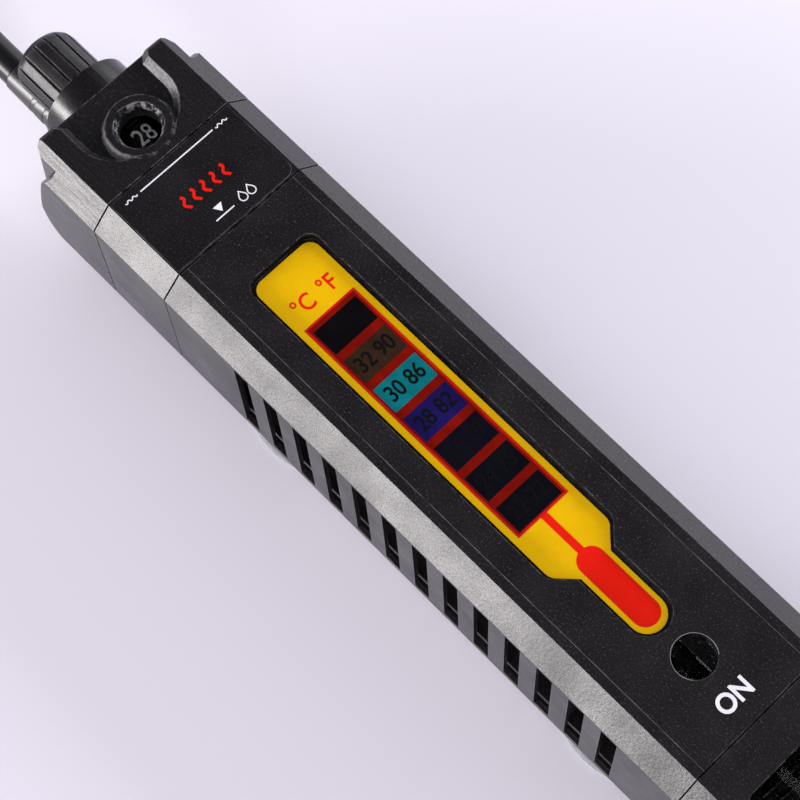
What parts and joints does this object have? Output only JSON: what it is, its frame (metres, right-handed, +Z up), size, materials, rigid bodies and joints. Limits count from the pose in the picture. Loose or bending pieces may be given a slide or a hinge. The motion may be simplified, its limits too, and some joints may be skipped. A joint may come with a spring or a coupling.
{
  "type": "submersible aquarium heater",
  "caption": "Aquarium heater with a sealed glass tube and thermostat in a slotted guard, with a temperature knob, strip thermometer, suction cups and mains cord.",
  "frame": {"origin": "centre of the heater's footprint, from the knob's tip to the end cap's end, on the plane that its suction cups stand on; measured without the free cord and what is on it", "axes": "+X along the heater from the knob towards the closed end, +Y across it, +Z up out of the face with the thermometer"},
  "size_m": [0.459, 0.0719, 0.045],
  "materials": {
    "satin_plastic": "satin black, fine grain",
    "gloss_plastic": "gloss black",
    "yellow_card": "glossy yellow printed card",
    "tube_glass": "clear polished",
    "black_rubber": "matt black",
    "clear_rubber": "clear soft plastic",
    "steel": "bare metal",
    "brass": "bare metal",
    "ceramic": "unglazed white ceramic",
    "white_plastic": "off-white moulded",
    "lamp_glass": "orange-tinted clear glass"
  },
  "bodies": {
    "guard": {"head_cap": "satin_plastic", "label_collar": "satin_plastic", "guard_shell": "satin_plastic", "end_cap": "satin_plastic", "back_plate": "satin_plastic", "back_screw_1": "steel", "back_screw_2": "steel", "back_screw_3": "steel", "back_screw_4": "steel", "thermometer_strip": "yellow_card", "glass_tube": "tube_glass", "upper_tube_cushion": "black_rubber", "lower_tube_cushion": "black_rubber", "foot_pad": "black_rubber", "tube_cap": "gloss_plastic", "cap_gasket": "black_rubber", "shaft_seal": "black_rubber", "thermostat_carrier": "white_plastic", "bimetal_strip": "steel", "contact_leaf": "brass", "fixed_contact": "brass", "moving_contact": "brass", "snap_magnet": "steel", "spine_board": "white_plastic", "suppressor_capacitor": "white_plastic", "pilot_lamp": "lamp_glass", "lamp_stand": "white_plastic", "lamp_resistor": "ceramic", "live_lead": "brass", "return_lead": "brass", "live_supply_wire": "brass", "neutral_supply_wire": "brass", "upper_insulating_disc": "ceramic", "lower_insulating_disc": "ceramic", "heating_core": "ceramic", "heating_winding": "steel", "strain_relief": "black_rubber", "power_cord": "black_rubber", "cord_hank": "black_rubber", "cord_tie": "satin_plastic", "plug_body": "black_rubber", "live_pin": "steel", "neutral_pin": "steel"},
    "knob_unit": {"knob": "gloss_plastic", "adjust_shaft": "brass", "dial_drum": "satin_plastic"},
    "nut": {"adjuster_nut": "brass"},
    "upper_cup": {"upper_suction_cup": "clear_rubber"},
    "lower_cup": {"lower_suction_cup": "clear_rubber"}
  },
  "joints": [
    {"name": "knob_turn", "type": "hinge", "parent": "guard", "child": "knob_unit", "pos_m": [-0.1199, 0, 0.0296], "axis": [1, 0, 0], "range_deg": [-171.43, 128.57]},
    {"name": "nut_travel", "type": "slide", "parent": "guard", "child": "nut", "axis": [1, 0, 0], "range_m": [-0.00097, 0.00073]},
    {"name": "upper_cup_swivel", "type": "hinge", "parent": "guard", "child": "upper_cup", "pos_m": [-0.0434, 0, 0.0086], "axis": [0, 0, 1], "continuous": true},
    {"name": "lower_cup_swivel", "type": "hinge", "parent": "guard", "child": "lower_cup", "pos_m": [0.0481, 0, 0.0086], "axis": [0, 0, 1], "continuous": true}
  ],
  "couplings": [
    {"joint": "nut_travel", "follows": "knob_turn", "m_per_rad": 0.0003183}
  ]
}
